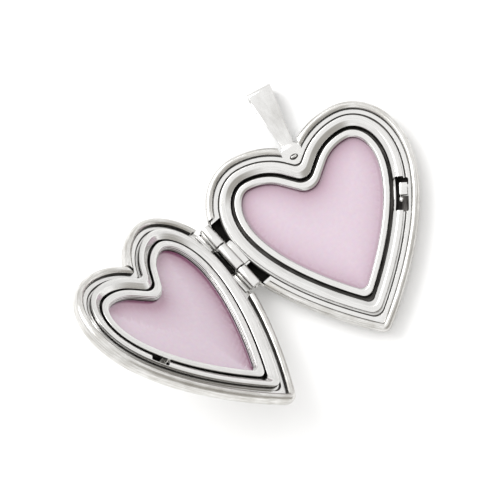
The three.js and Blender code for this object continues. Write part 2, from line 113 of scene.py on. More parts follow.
def crossing(inset, low, high):
    """Where the outline, moved inwards, meets the middle line."""

    def off_middle(t):
        point, inward = outline_at(t)
        return point.x + inset * inward.x

    positive = off_middle(low) > 0
    for _ in range(34):
        middle = (low + high) / 2
        if (off_middle(middle) > 0) == positive:
            low = middle
        else:
            high = middle
    return (low + high) / 2


def heart(inset, tip):
    """The heart moved inwards, with cleft and tip rounded, clockwise from the cleft."""
    cleft = CLEFT_RADIUS + CLEFT_GROWTH * inset
    start = crossing(inset - cleft, -1, 0.9)
    end = crossing(inset + tip, 2.3, 3)
    right = []
    point, inward = outline_at(start)
    centre = point + inward * (inset - cleft)
    turn = math.atan2(inward.y, inward.x) + math.pi / 2
    for i in range(CLEFT_STEPS):
        a = -math.pi / 2 + turn * i / CLEFT_STEPS
        right.append(centre + cleft * Vector((math.cos(a), math.sin(a))))
    for i in range(BODY_STEPS):
        point, inward = outline_at(start + (end - start) * i / BODY_STEPS)
        right.append(point + inward * inset)
    point, inward = outline_at(end)
    centre = point + inward * (inset + tip)
    first = math.atan2(-inward.y, -inward.x)
    for i in range(TIP_STEPS + 1):
        a = first + (-math.pi / 2 - first) * i / TIP_STEPS
        right.append(centre + tip * Vector((math.cos(a), math.sin(a))))
    left = [Vector((-p.x, p.y)) for p in right[1:-1]]
    return right + left[::-1]


def soften(rows, steps=5):
    """Rounds each corner of a profile by the radius in its fourth place."""
    out = []
    for i, (inset, depth, tip, radius) in enumerate(rows):
        if not radius:
            out.append((inset, depth, tip))
            continue
        here = Vector((inset, depth, tip))
        before = Vector(rows[i - 1][:3]) - here
        after = Vector(rows[(i + 1) % len(rows)][:3]) - here
        a = here + before * min(radius / before.xy.length, 0.48)
        b = here + after * min(radius / after.xy.length, 0.48)
        for k in range(steps + 1):
            s = k / steps
            out.append(tuple(a * (1 - s) ** 2 + here * 2 * s * (1 - s) + b * s * s))
    return out


def press(name, rows, ring=False, dark=()):
    """A pressed piece: its profile of (inset, depth, tip radius) carried round the heart.

    Rows whose number is in dark get the second material, painted near-black as shade.
    """
    mesh = bmesh.new()
    uv = mesh.loops.layers.uv.new("along")
    outlines = [heart(inset, tip) for inset, depth, tip in rows]
    count = len(outlines[0])
    grid = [
        [mesh.verts.new(Vector((p.x, p.y, HALF_DEPTH - row[1])) * MM) for p in outline]
        for outline, row in zip(outlines, rows)
    ]
    run = [0.0]
    reference = outlines[len(outlines) // 2]
    for i in range(count):
        run.append(run[-1] + (reference[(i + 1) % count] - reference[i]).length)
    rise = [0.0]
    for a, b in zip(rows, rows[1:] + rows[:1]):
        rise.append(rise[-1] + math.hypot(b[0] - a[0], b[1] - a[1]))
    for r in range(len(rows) if ring else len(rows) - 1):
        low, high = grid[r], grid[(r + 1) % len(rows)]
        for i in range(count):
            j = (i + 1) % count
            face = mesh.faces.new((low[i], high[i], high[j], low[j]))
            face.smooth = True
            face.material_index = 1 if r in dark else 0
            corners = ((i, r), (i, r + 1), (i + 1, r + 1), (i + 1, r))
            for loop, (u, v) in zip(face.loops, corners):
                loop[uv].uv = (run[u], rise[v])
    if not ring:
        mesh.faces.new(grid[0])
        inside = mesh.faces.new(grid[-1][::-1])
        inside.material_index = 1 if len(rows) - 2 in dark else 0
    bmesh.ops.recalc_face_normals(mesh, faces=mesh.faces)
    return finished(name, mesh)


def finished(name, mesh, sharp=35):
    """Turns mesh code into an object whose normals are smooth up to the given angle."""
    data = bpy.data.meshes.new(name)
    mesh.to_mesh(data)
    mesh.free()
    data.shade_smooth()
    data.set_sharp_from_angle(angle=math.radians(sharp))
    piece = bpy.data.objects.new(name, data)
    bpy.context.scene.collection.objects.link(piece)
    return piece


def boolean(piece, other, operation, sharp=35):
    """Cuts or joins another solid, which is then thrown away."""
    modifier = piece.modifiers.new(operation, "BOOLEAN")
    modifier.operation = operation
    modifier.solver = "EXACT"
    modifier.material_mode = "INDEX"
    modifier.object = other
    settle(piece, sharp)
    bpy.data.objects.remove(other)


def settle(piece, sharp=35):
    """Applies a piece's modifiers."""
    bpy.context.view_layer.update()
    graph = bpy.context.evaluated_depsgraph_get()
    data = bpy.data.meshes.new_from_object(piece.evaluated_get(graph), depsgraph=graph)
    piece.modifiers.clear()
    piece.data = data
    data.name = piece.name
    data.shade_smooth()
    data.set_sharp_from_angle(angle=math.radians(sharp))


def block(x, y, z, place=Matrix()):
    """A cutting block, by its two ends in each direction."""
    mesh = bmesh.new()
    bmesh.ops.create_cube(mesh, size=1)
    for v in mesh.verts:
        ends = [e[0] if c < 0 else e[1] for e, c in zip((x, y, z), v.co)]
        v.co = (place @ Vector(ends)) * MM
    mesh.normal_update()
    bmesh.ops.recalc_face_normals(mesh, faces=mesh.faces)
    return finished("block", mesh)


def dome_tip(inset):
    return TIP_RADIUS + DOME_TIP_GROWTH * inset


def curl_tip(inset):
    return max(TIP_RADIUS - CURL_TIP_LOSS * inset, SHARPEST)


def shell_rows():
    """A shell's profile: up the dome's outside, over the curl, back inside it and down again."""
    rows = []
    for i in range(DOME_STEPS, 0, -1):
        a = math.pi / 2 * i / DOME_STEPS
        inset = HOLD_BACK + (DOME_REACH - HOLD_BACK) * (1 - math.cos(a))
        rows.append((inset, WALL_DEPTH + DOME_RISE * math.sin(a), dome_tip(inset)))
    radius = CURL_WIDTH / 2
    centre = MEET_GAP + radius
    for depth in (WALL_DEPTH, (WALL_DEPTH + centre) / 2):
        rows.append((HOLD_BACK, depth, TIP_RADIUS))
    for i in range(CURL_STEPS + 1):
        a = math.pi * i / CURL_STEPS
        inset = HOLD_BACK + (radius - HOLD_BACK / 2) * (1 - math.cos(a))
        rows.append((inset, centre - radius * math.sin(a), curl_tip(inset)))
    edge = RIM_DEPTH - RIM_GAP
    rounding = 0.03
    rows.append((CURL_WIDTH, edge - 0.02, curl_tip(CURL_WIDTH)))
    rows.append((CURL_WIDTH - rounding, edge, curl_tip(CURL_WIDTH)))
    # The last rows of the curl's inner side, and all of the shell's inside, are painted near-black
    # as shade.
    shaded_rows = 6
    first_dark = len(rows) - shaded_rows
    rows.append((CURL_WIDTH - SHELL_SHEET, edge, curl_tip(CURL_WIDTH - SHELL_SHEET)))
    hollow = radius - SHELL_SHEET
    for i in range(INNER_CURL_STEPS, -1, -1):
        a = math.pi * i / INNER_CURL_STEPS
        inset = radius - hollow * math.cos(a)
        rows.append((inset, centre - hollow * math.sin(a), curl_tip(inset)))
    for i in range(INNER_DOME_STEPS + 1):
        a = math.pi / 2 * i / INNER_DOME_STEPS
        inset = DOME_REACH - (DOME_REACH - SHELL_SHEET) * math.cos(a)
        depth = WALL_DEPTH + (DOME_RISE - SHELL_SHEET) * math.sin(a)
        rows.append((inset, depth, dome_tip(inset) - SHELL_SHEET))
    return rows, range(first_dark, len(rows))


HINGE = Vector((-9.48, 2.13, HALF_DEPTH))
HINGE_LEAN = math.radians(14.2)
hinge_place = Matrix.Translation(HINGE) @ Matrix.Rotation(math.pi / 2 + HINGE_LEAN, 4, "Z")
OPEN_ANGLE = math.radians(136.8)
hinge_axis = Vector((math.sin(HINGE_LEAN), -math.cos(HINGE_LEAN), 0))
open_cover = (
    Matrix.Translation(HINGE)
    @ Matrix.Rotation(OPEN_ANGLE, 4, hinge_axis)
    @ Matrix.Translation(-HINGE)
    @ Matrix.Translation((0, 0, 2 * HALF_DEPTH))
    @ Matrix.Scale(-1, 4, (0, 0, 1))
)


def turn_over(piece):
    """Turns a piece made as a rear one over into the cover, at its opened place."""
    place = open_cover.copy()
    place.translation *= MM
    mesh = bmesh.new()
    mesh.from_mesh(piece.data)
    mesh.transform(place)
    bmesh.ops.reverse_faces(mesh, faces=mesh.faces)
    mesh.to_mesh(piece.data)
    mesh.free()
    piece.data.set_sharp_from_angle(angle=math.radians(35))


def silver(name, colour, shade, satin, scratch):
    """Sheet silver: rubbing lines along the piece, cloudy wear, and painted shade darkening the
    creases.
    """
    made = bpy.data.materials.new(name)
    made.use_nodes = True
    nodes, links = made.node_tree.nodes, made.node_tree.links
    shader = nodes["Principled BSDF"]
    shader.inputs["Metallic"].default_value = 1.0
    where = nodes.new("ShaderNodeTexCoord")
    stretch = nodes.new("ShaderNodeMapping")
    stretch.inputs["Scale"].default_value = (0.35, 6.5, 1)
    links.new(where.outputs["UV"], stretch.inputs["Vector"])
    lines = nodes.new("ShaderNodeTexNoise")
    lines.inputs["Scale"].default_value = 1.4
    lines.inputs["Detail"].default_value = 6
    lines.inputs["Roughness"].default_value = 0.62
    links.new(stretch.outputs["Vector"], lines.inputs["Vector"])
    cloud = nodes.new("ShaderNodeTexNoise")
    cloud.inputs["Scale"].default_value = 700
    cloud.inputs["Detail"].default_value = 7
    links.new(where.outputs["Object"], cloud.inputs["Vector"])
    both = nodes.new("ShaderNodeMath")
    both.operation = "MULTIPLY_ADD"
    both.inputs[1].default_value = 0.4
    links.new(cloud.outputs["Fac"], both.inputs[0])
    links.new(lines.outputs["Fac"], both.inputs[2])
    wear = nodes.new("ShaderNodeMapRange")
    wear.inputs["From Min"].default_value = 0.54
    wear.inputs["From Max"].default_value = 0.82
    links.new(both.outputs["Value"], wear.inputs["Value"])
    tint = nodes.new("ShaderNodeMix")
    tint.data_type = "RGBA"
    tint.inputs["A"].default_value = (*shade, 1)
    tint.inputs["B"].default_value = (*colour, 1)
    links.new(wear.outputs["Result"], tint.inputs["Factor"])
    # Painted shade: ambient occlusion within a quarter millimetre mixes the colour towards
    # near-black in creases and gaps.
    crease = nodes.new("ShaderNodeAmbientOcclusion")
    crease.samples = 8
    crease.inputs["Distance"].default_value = 0.26 * MM
    crease_shade_share = nodes.new("ShaderNodeMapRange")
    crease_shade_share.inputs["From Min"].default_value = 0.08
    crease_shade_share.inputs["From Max"].default_value = 0.42
    links.new(crease.outputs["AO"], crease_shade_share.inputs["Value"])
    crease_shaded = nodes.new("ShaderNodeMix")
    crease_shaded.data_type = "RGBA"
    crease_shaded.inputs["A"].default_value = (0.035, 0.032, 0.028, 1)
    links.new(crease_shade_share.outputs["Result"], crease_shaded.inputs["Factor"])
    links.new(tint.outputs["Result"], crease_shaded.inputs["B"])
    links.new(crease_shaded.outputs["Result"], shader.inputs["Base Color"])
    rough = nodes.new("ShaderNodeMapRange")
    rough.inputs["To Min"].default_value = satin[1]
    rough.inputs["To Max"].default_value = satin[0]
    links.new(wear.outputs["Result"], rough.inputs["Value"])
    links.new(rough.outputs["Result"], shader.inputs["Roughness"])
    bump = nodes.new("ShaderNodeBump")
    bump.inputs["Strength"].default_value = scratch
    bump.inputs["Distance"].default_value = 0.02 * MM
    links.new(lines.outputs["Fac"], bump.inputs["Height"])
    links.new(bump.outputs["Normal"], shader.inputs["Normal"])
    return made


rubbed_silver = silver(
    "rubbed_silver",
    colour=(0.72, 0.712, 0.695),
    shade=(0.44, 0.425, 0.395),
    satin=(0.15, 0.32),
    scratch=0.7,
)
bright_silver = silver(
    "bright_silver",
    colour=(0.71, 0.705, 0.693),
    shade=(0.62, 0.612, 0.598),
    satin=(0.1, 0.24),
    scratch=0.35,
)
# Near-black silver, painted as shade on hollows, undersides and walls turned from the light.
painted_shade_silver = silver(
    "painted_shade_silver",
    colour=(0.1, 0.095, 0.09),
    shade=(0.04, 0.038, 0.035),
    satin=(0.4, 0.6),
    scratch=0.4,
)

HINGE_CUT_LENGTH = 8.0
HINGE_CUT_IN = 2.2
HINGE_CUT_DEPTH = 0.8
NOTCH_WIDTH = 1.95
NOTCH_REACH = 1.58
WALL_NOTCH_REACH = 0.6
WALL_NOTCH_FLOOR = 0.7
COVER_NOTCH_WIDTH = 0.3
CLEAR = 3.0  # cutting blocks stand out this far past what they cut


def cut_notch(piece, width, reach, floor):
    across = (-width / 2, width / 2)
    notch = block(across, (CLEFT_Y - reach, CLEFT_Y + CLEAR), (floor, HALF_DEPTH + CLEAR))
    boolean(piece, notch, "DIFFERENCE")


def shell(name, notch):
    rows, dark = shell_rows()
    piece = press(name, rows, dark=dark)
    piece.data.materials.append(rubbed_silver)
    piece.data.materials.append(painted_shade_silver)
    along = (-HINGE_CUT_LENGTH / 2, HINGE_CUT_LENGTH / 2)
    hinge_cut = block(along, (-HINGE_CUT_IN, CLEAR), (-HINGE_CUT_DEPTH, CLEAR), hinge_place)
    boolean(piece, hinge_cut, "DIFFERENCE")
    cut_notch(piece, notch, NOTCH_REACH, HALF_DEPTH - RIM_DEPTH + RIM_GAP / 2)
    return piece


rear_shell = shell("rear_shell_look", NOTCH_WIDTH)
cut_notch(rear_shell, NOTCH_WIDTH, WALL_NOTCH_REACH, WALL_NOTCH_FLOOR)
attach(rear_shell, "rear_half")
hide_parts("rear_shell")

front_shell = shell("front_shell_look", COVER_NOTCH_WIDTH)
turn_over(front_shell)
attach(front_shell, "cover")
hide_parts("front_shell")

# ---------------------------------------------------------------------------------------------
# Inner plates. Each is pressed from thinner silver sheet: a flat rim under the curl, a fine
# groove, a raised lip that is bevelled inwards, and the well that holds the picture. The rear one
# has a tab at the cleft, with a punched hollow. Both have a gap in the lip for the catch.
# ---------------------------------------------------------------------------------------------
PLATE_SHEET = 0.18
PLATE_EDGE = 0.3
GROOVE_START = 1.18
GROOVE_SHADED_WIDTH = 0.14  # this much of the groove's width is painted dark as shade
GROOVE_DEPTH = 0.14
LIP_START = 1.43
LIP_FLAT_END = 1.91
LIP_TOP = 0.05
LIP_ROUND = 0.07
BEVEL_ROUND = 0.1
BEVEL_END = 0.39  # how deep the lip's bevel ends
WELL_EDGE = 2.41
WELL_DEPTH = 1.1
WELL_REACH = 3.9  # the profile stops this far in, on the well's flat floor
PLATE_TIP = 0.95
FINE = 0.02
WELL_TIP = PLATE_TIP - (WELL_EDGE - LIP_START) * 0.4
KNUCKLE_RADIUS = 0.6
KNUCKLE_ROOM = 0.68
MIDDLE_SPAN = (-1.35, 1.35)
UPPER_SPAN = (1.4, 3.65)
LOWER_SPAN = (-3.65, -1.4)
CATCH_AT = 2.28  # where the catch is, along the outline
catch_point, catch_inward = outline_at(CATCH_AT)
catch_place = (
    Matrix.Translation((catch_point.x, catch_point.y, HALF_DEPTH))
    @ Matrix.Rotation(math.atan2(catch_inward.y, catch_inward.x) - math.pi / 2, 4, "Z")
)
SLOT_OUTER = GROOVE_START - 0.14
SLOT_INNER = WELL_EDGE + 0.1
SLOT_FLOOR = -0.95
HOLLOW_RADII = (0.9, 0.6, 0.36, 1)  # of the punched hollow, as shares of HOLLOW
HOLLOW = 0.46


def rod(radius, x0, x1, place, steps=64):
    """A round bar along x."""
    mesh = bmesh.new()
    bmesh.ops.create_cone(
        mesh, cap_ends=True, segments=steps, radius1=radius, radius2=radius, depth=x1 - x0
    )
    turn = Matrix.Translation(((x0 + x1) / 2, 0, 0)) @ Matrix.Rotation(math.pi / 2, 4, "Y")
    for v in mesh.verts:
        v.co = (place @ turn @ v.co) * MM
    mesh.normal_update()
    bmesh.ops.recalc_face_normals(mesh, faces=mesh.faces)
    return finished("rod", mesh)


def turned(name, profile, place, steps=48):
    """A solid of revolution about x, from (x, radius) pairs that start and end on the axis."""
    mesh = bmesh.new()
    rings = []
    for x, radius in profile:
        if radius == 0:
            rings.append([mesh.verts.new((place @ Vector((x, 0, 0))) * MM)])
            continue
        angles = [2 * math.pi * i / steps for i in range(steps)]
        ring = [Vector((x, radius * math.cos(a), radius * math.sin(a))) for a in angles]
        rings.append([mesh.verts.new((place @ v) * MM) for v in ring])
    for a, b in zip(rings, rings[1:]):
        for i in range(steps):
            j = (i + 1) % steps
            corners = [a[i % len(a)], b[i % len(b)], b[j % len(b)], a[j % len(a)]]
            mesh.faces.new(list(dict.fromkeys(corners)))
    bmesh.ops.recalc_face_normals(mesh, faces=mesh.faces)
    return finished(name, mesh)


def egg(reach, radius, steps):
    """The profile of an egg, for turned()."""
    angles = [math.pi - math.pi * i / steps for i in range(1, steps)]
    round_side = [(reach * math.cos(a), radius * math.sin(a)) for a in angles]
    return [(-reach, 0), *round_side, (reach, 0)]


def slab(name, outline, low, high, soft=0.0):
    """A flat piece cut to an outline, its edges softened."""
    mesh = bmesh.new()
    ends = [
        [mesh.verts.new(Vector((x, y, z)) * MM) for x, y in outline] for z in (low, high)
    ]
    mesh.faces.new(ends[0])
    mesh.faces.new(ends[1])
    for i in range(len(outline)):
        j = (i + 1) % len(outline)
        mesh.faces.new((ends[0][i], ends[0][j], ends[1][j], ends[1][i]))
    bmesh.ops.recalc_face_normals(mesh, faces=mesh.faces)
    piece = finished(name, mesh)
    if soft:
        ease_edges(piece, soft)
    return piece


def ease_edges(piece, width, steps=3):
    """Files the sharp edges of a piece round."""
    modifier = piece.modifiers.new("eased", "BEVEL")
    modifier.width = width * MM
    modifier.segments = steps
    modifier.limit_method = "ANGLE"
    modifier.angle_limit = math.radians(40)
    settle(piece)


def beside_knuckle(span):
    """The rim left out beside one of the other half's knuckles, in to the foot of the lip."""
    low, high = span
    to_hinge = hinge_place.inverted()
    groove = heart(GROOVE_START + FINE, PLATE_TIP)
    foot = [to_hinge @ Vector((p.x, p.y, HALF_DEPTH)) for p in groove]
    foot = sorted((p.x, p.y) for p in foot if low < p.x < high and abs(p.y) < CLEAR)
    outline = [(low, foot[0][1]), *foot, (high, foot[-1][1]), (high, CLEAR), (low, CLEAR)]
    piece = slab("beside", outline, -1.2, 1)
    place = hinge_place.copy()
    place.translation *= MM
    piece.data.transform(place)
    return piece


def plate_rows():
    """A plate's profile: back along the underside to its edge, then in over the lip to the well."""
    sheet = PLATE_SHEET
    groove = RIM_DEPTH + GROOVE_DEPTH
    edge_tip = curl_tip(PLATE_EDGE)
    return soften(
        [
            (WELL_EDGE - sheet, WELL_DEPTH + sheet, WELL_TIP, 0),
            (WELL_EDGE - sheet, 0.64, WELL_TIP, 0),
            (WELL_EDGE - 0.234, 0.5, WELL_TIP, 0),
            (LIP_FLAT_END - 0.06, LIP_TOP + sheet, PLATE_TIP - 0.25, 0),
            (LIP_START + sheet, LIP_TOP + sheet, PLATE_TIP - 0.08, 0),
            (LIP_START + sheet, RIM_DEPTH + 0.1 + sheet, PLATE_TIP - 0.08, 0),
            (GROOVE_START - 0.1, RIM_DEPTH + 0.1 + sheet, PLATE_TIP, 0),
            (GROOVE_START - 0.14, RIM_DEPTH + sheet, PLATE_TIP, 0),
            (PLATE_EDGE, RIM_DEPTH + sheet, edge_tip, 0.03),
            (PLATE_EDGE, RIM_DEPTH, edge_tip, 0.03),
            (GROOVE_START, RIM_DEPTH, PLATE_TIP, 0.03),
            (GROOVE_START + FINE, groove, PLATE_TIP, FINE),
            (GROOVE_START + GROOVE_SHADED_WIDTH, groove, PLATE_TIP, 0),
            (LIP_START, groove, PLATE_TIP, FINE),
            (LIP_START, LIP_TOP, PLATE_TIP, LIP_ROUND),
            (LIP_FLAT_END, LIP_TOP, PLATE_TIP - 0.2, BEVEL_ROUND),
            (WELL_EDGE, BEVEL_END, WELL_TIP, BEVEL_ROUND),
            (WELL_EDGE, WELL_DEPTH - 0.06, WELL_TIP, 0),
            (WELL_EDGE + 0.05, WELL_DEPTH, WELL_TIP, 0),
            (WELL_REACH, WELL_DEPTH, 0.6, 0),
        ]
    )


def painted_shade_rows(rows):
    """The rows painted near-black as shade: the underside, the bottom of the groove and the well.
    """
    edge = next(i for i, r in enumerate(rows) if r[0] < PLATE_EDGE + 0.01)
    low, high = GROOVE_START - 0.01, GROOVE_START + GROOVE_SHADED_WIDTH + 0.01
    over = [(i, r) for i, r in enumerate(rows) if i > edge]
    groove = [i for i, r in over if low < r[0] < high and r[1] > RIM_DEPTH - 0.04]
    well = next(i for i, r in over if r[0] >= WELL_EDGE and r[1] > RIM_DEPTH)
    return [*range(edge), *groove[:-1], *range(well - 1, len(rows))]


def plate(name, other_knuckles, tab, slot):
    rows = plate_rows()
    piece = press(name, rows, dark=painted_shade_rows(rows))
    piece.data.materials.append(bright_silver)
    piece.data.materials.append(painted_shade_silver)
    if tab:
        boolean(piece, tab, "UNION")
        hollow_centre = Matrix.Translation((0, CLEFT_Y - 0.66, HALF_DEPTH - RIM_DEPTH + 0.03))
        hollow_place = hollow_centre @ Matrix.Diagonal(HOLLOW_RADII)
        boolean(piece, turned("hollow", egg(HOLLOW, HOLLOW, 24), hollow_place), "DIFFERENCE")
    hinge_room = rod(KNUCKLE_ROOM, LOWER_SPAN[0] - 0.25, UPPER_SPAN[1] + 0.25, hinge_place)
    boolean(piece, hinge_room, "DIFFERENCE")
    for span in other_knuckles:
        boolean(piece, beside_knuckle(span), "DIFFERENCE")
    boolean(piece, slot, "DIFFERENCE")
    return piece


TAB_HALF = 0.85
TAB_ROOT = CLEFT_Y - 0.9
TAB_END = CLEFT_Y + 0.68
TAB_DROP = 0.3  # how far the tab's corners fall back from its end
TAB_ROUND = 2.6
tab_outline = [(-TAB_HALF, TAB_ROOT), (TAB_HALF, TAB_ROOT)]
for i in range(25):
    s = -1 + i / 12
    tab_outline.append((-TAB_HALF * s, TAB_END - TAB_DROP * abs(s) ** TAB_ROUND))
tab_top = HALF_DEPTH - RIM_DEPTH
rear_tab = slab("tab", tab_outline, tab_top - PLATE_SHEET, tab_top, 0.04)
rear_tab.data.materials.append(bright_silver)
rear_slot = block((-1.75, 1.45), (SLOT_OUTER, SLOT_INNER), (SLOT_FLOOR, 1), catch_place)
ease_edges(rear_slot, 0.2, 4)
rear_plate = plate("rear_plate_look", (UPPER_SPAN, LOWER_SPAN), rear_tab, rear_slot)
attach(rear_plate, "rear_half")
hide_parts("rear_inner_plate")

front_slot = block((-0.45, 1.25), (LIP_START + 0.06, SLOT_INNER), (SLOT_FLOOR, 1), catch_place)
ease_edges(front_slot, 0.18, 4)
front_plate = plate("front_plate_look", (MIDDLE_SPAN,), None, front_slot)
turn_over(front_plate)
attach(front_plate, "cover")
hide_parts("front_inner_plate")

# ---------------------------------------------------------------------------------------------
# Frame rings. Each is a heart-shaped upturned channel of silver sheet, sprung into the well so
# that its inner wall holds the film down. The rear one's wall slopes, and the cover's is stepped.
# ---------------------------------------------------------------------------------------------
FRAME_OUTER = WELL_EDGE + 0.4
FRAME_INNER = FRAME_OUTER + 0.59
FRAME_TOP = 0.32
FRAME_SHEET = 0.14
FRAME_TIP = 0.8
INNER_FOOT = 0.84
OUTER_FOOT = WELL_DEPTH - RIM_GAP


def frame_ring(name, outer, wall):
    """A ring, whose inner wall is a list of (distance back, drop, rounding)."""
    inner, sheet = FRAME_TIP - 0.15, FRAME_SHEET
    rows = soften(
        [
            (outer, OUTER_FOOT, FRAME_TIP, 0),
            (outer, FRAME_TOP, FRAME_TIP, 0.09),
            *[(FRAME_INNER - back, FRAME_TOP + drop, inner, soft) for back, drop, soft in wall],
            (FRAME_INNER, INNER_FOOT, inner, 0.02),
            (FRAME_INNER - sheet, INNER_FOOT, inner, 0.02),
            (FRAME_INNER - sheet, FRAME_TOP + 0.2 + sheet, inner, 0),
            (FRAME_INNER - 0.17 - sheet / 2, FRAME_TOP + sheet, inner, 0),
            (outer + sheet, FRAME_TOP + sheet, FRAME_TIP - 0.03, 0),
            (outer + sheet, OUTER_FOOT, FRAME_TIP - 0.03, 0),
        ]
    )
    # The outer wall, down in the gap by the lip, and the risers of the inner wall are painted
    # near-black as shade.
    outside = [i for i, r in enumerate(rows) if r[0] < FRAME_INNER - 0.1 and r[1] > 0.5]
    risers = []
    for i, (a, b) in enumerate(zip(rows, rows[1:])):
        upright = b[1] - a[1] > 0.05 and abs(b[0] - a[0]) < 0.035
        if upright and a[0] > FRAME_INNER - 0.15:
            risers.append(i)
    piece = press(name, rows, ring=True, dark=outside + risers)
    piece.data.materials.append(bright_silver)
    piece.data.materials.append(painted_shade_silver)
    return piece


sloped_wall = [(0.17, 0, 0.08), (0, 0.17, 0.05), (0.03, 0.24, 0)]
sloped_wall += [(0, 0.3, 0.02), (0.03, 0.37, 0)]
rear_frame = frame_ring("rear_frame_look", FRAME_OUTER - 0.06, sloped_wall)
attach(rear_frame, "rear_half")
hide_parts("rear_photo_frame")
stepped_wall = [(0.16, 0, 0.05), (0.14, 0.1, 0.015), (0.09, 0.11, 0.02), (0.07, 0.22, 0.015)]
stepped_wall += [(0.03, 0.23, 0.02), (0.02, 0.34, 0.01), (0, 0.35, 0.01)]
front_frame = frame_ring("front_frame_look", FRAME_OUTER - 0.19, stepped_wall)
turn_over(front_frame)
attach(front_frame, "cover")
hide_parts("front_photo_frame")

# ---------------------------------------------------------------------------------------------
# Films. A matte lavender plastic film lies over each picture place, cut to the heart and held
# down by the frame ring. It is glossy on top, with painted shade by the ring's wall, most on one
# side.
# ---------------------------------------------------------------------------------------------
FILM_INSET = FRAME_OUTER + FRAME_SHEET + 0.04
FILM_TOP = INNER_FOOT + RIM_GAP
FILM_SHEET = 0.12
FILM_REACH = 1.1  # the painted shade fades to a third over this distance
FILM_GRID = 0.45
FILM_GRID_LINES = 22

lavender = bpy.data.materials.new("lavender_film")
lavender.use_nodes = True
nodes, links = lavender.node_tree.nodes, lavender.node_tree.links
film_shader = nodes["Principled BSDF"]
film_shader.inputs["Roughness"].default_value = 0.5
film_shader.inputs["Coat Weight"].default_value = 1.0
film_shader.inputs["Coat IOR"].default_value = 2.6
film_shader.inputs["Coat Roughness"].default_value = 0.24
film_where = nodes.new("ShaderNodeTexCoord")
mottle = nodes.new("ShaderNodeTexNoise")
mottle.inputs["Scale"].default_value = 2600
mottle.inputs["Detail"].default_value = 5
links.new(film_where.outputs["Object"], mottle.inputs["Vector"])
patches = nodes.new("ShaderNodeTexNoise")
patches.inputs["Scale"].default_value = 180
patches.inputs["Detail"].default_value = 3
links.new(film_where.outputs["Object"], patches.inputs["Vector"])
film_tint = nodes.new("ShaderNodeMix")
film_tint.data_type = "RGBA"
film_tint.inputs["A"].default_value = (0.46, 0.335, 0.42, 1)
film_tint.inputs["B"].default_value = (0.5, 0.375, 0.46, 1)
links.new(patches.outputs["Fac"], film_tint.inputs["Factor"])
film_grain = nodes.new("ShaderNodeMix")
film_grain.data_type = "RGBA"
film_grain.blend_type = "SOFT_LIGHT"
film_grain.inputs["Factor"].default_value = 0.2
links.new(film_tint.outputs["Result"], film_grain.inputs["A"])
links.new(mottle.outputs["Color"], film_grain.inputs["B"])
# Painted shade and shadow: the colour is mixed towards deep purple near the ring's wall, most on
# the shadow side.
wall_shade_share = nodes.new("ShaderNodeAttribute")
wall_shade_share.attribute_name = "edge"
painted_wall_shade = nodes.new("ShaderNodeMix")
painted_wall_shade.data_type = "RGBA"
painted_wall_shade.inputs["B"].default_value = (0.22, 0.05, 0.13, 1)
links.new(wall_shade_share.outputs["Fac"], painted_wall_shade.inputs["Factor"])
links.new(film_grain.outputs["Result"], painted_wall_shade.inputs["A"])
links.new(painted_wall_shade.outputs["Result"], film_shader.inputs["Base Color"])
film_bump = nodes.new("ShaderNodeBump")
film_bump.inputs["Strength"].default_value = 0.3
film_bump.inputs["Distance"].default_value = 0.01 * MM
links.new(mottle.outputs["Fac"], film_bump.inputs["Height"])
links.new(film_bump.outputs["Normal"], film_shader.inputs["Normal"])
links.new(film_bump.outputs["Normal"], film_shader.inputs["Coat Normal"])


def film(name, share, shadow_side):
    """A film painted darker towards the wall as shade by share, and more where shadow_side points.
    """
    tip = FRAME_TIP - 0.05
    rows = soften(
        [
            (FILM_INSET + 0.8, FILM_TOP + FILM_SHEET, tip, 0),
            (FILM_INSET, FILM_TOP + FILM_SHEET, tip, 0.02),
            (FILM_INSET, FILM_TOP, tip, 0.02),
            (FILM_INSET + 0.3, FILM_TOP, tip, 0),
        ],
        steps=3,
    )
    rows += [(FRAME_INNER + band, FILM_TOP, tip) for band in (0.0, 0.15, 0.35)]
    piece = press(name, rows)
    mesh = bmesh.new()
    mesh.from_mesh(piece.data)
    caps = [f for f in mesh.faces if len(f.verts) > 9]
    top = max(caps, key=lambda f: f.calc_center_median().z)
    flat = bmesh.ops.triangulate(mesh, faces=[top])["faces"]
    for axis in (Vector((1, 0, 0)), Vector((0, 1, 0))):
        for step in range(-FILM_GRID_LINES, FILM_GRID_LINES + 1):
            edges = {e for f in flat for e in f.edges}
            corners = {v for f in flat for v in f.verts}
            line = axis * step * FILM_GRID * MM
            cut = bmesh.ops.bisect_plane(
                mesh, geom=[*flat, *edges, *corners], plane_co=line, plane_no=axis, dist=1e-8
            )
            flat = [g for g in cut["geom"] if isinstance(g, bmesh.types.BMFace)]
    mesh.to_mesh(piece.data)
    mesh.free()
    piece.data.shade_smooth()
    piece.data.set_sharp_from_angle(angle=math.radians(35))
    wall = heart(FRAME_INNER, FRAME_TIP - 0.15)
    nearest = kdtree.KDTree(len(wall))
    for i, p in enumerate(wall):
        nearest.insert((p.x, p.y, 0), i)
    nearest.balance()
    edge = piece.data.attributes.new("edge", "FLOAT", "POINT")
    for spot, v in zip(edge.data, piece.data.vertices):
        here = Vector((v.co.x / MM, v.co.y / MM, 0))
        close, i, away = nearest.find(here)
        facing = (close - here).normalized().xy.dot(shadow_side) if away > 0.001 else 0.0
        spot.value = min(1.0, (share + facing) * math.exp(-away / FILM_REACH))
    piece.data.materials.append(lavender)
    return piece


rear_film = film("rear_film_look", 0.92, Vector((-0.1, 0.3)))
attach(rear_film, "rear_half")
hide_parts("rear_film")
front_film = film("front_film_look", 1.0, Vector((-0.85, 0.45)))
turn_over(front_film)
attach(front_film, "cover")
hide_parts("front_film")

# ---------------------------------------------------------------------------------------------
# Hinge. Three knuckles rolled from sheet, each with a leaf soldered on the rim of its half: the
# middle one is the rear half's. A drawn wire pin, its ends rounded over, runs through all three.
# ---------------------------------------------------------------------------------------------
PIN_RADIUS = 0.22
PIN_FIT = 0.03
PIN_HEAD = 0.14
KNUCKLE_PLAY = 0.04
LEAF_REACH = 1.15
LEAF_SHEET = 0.1


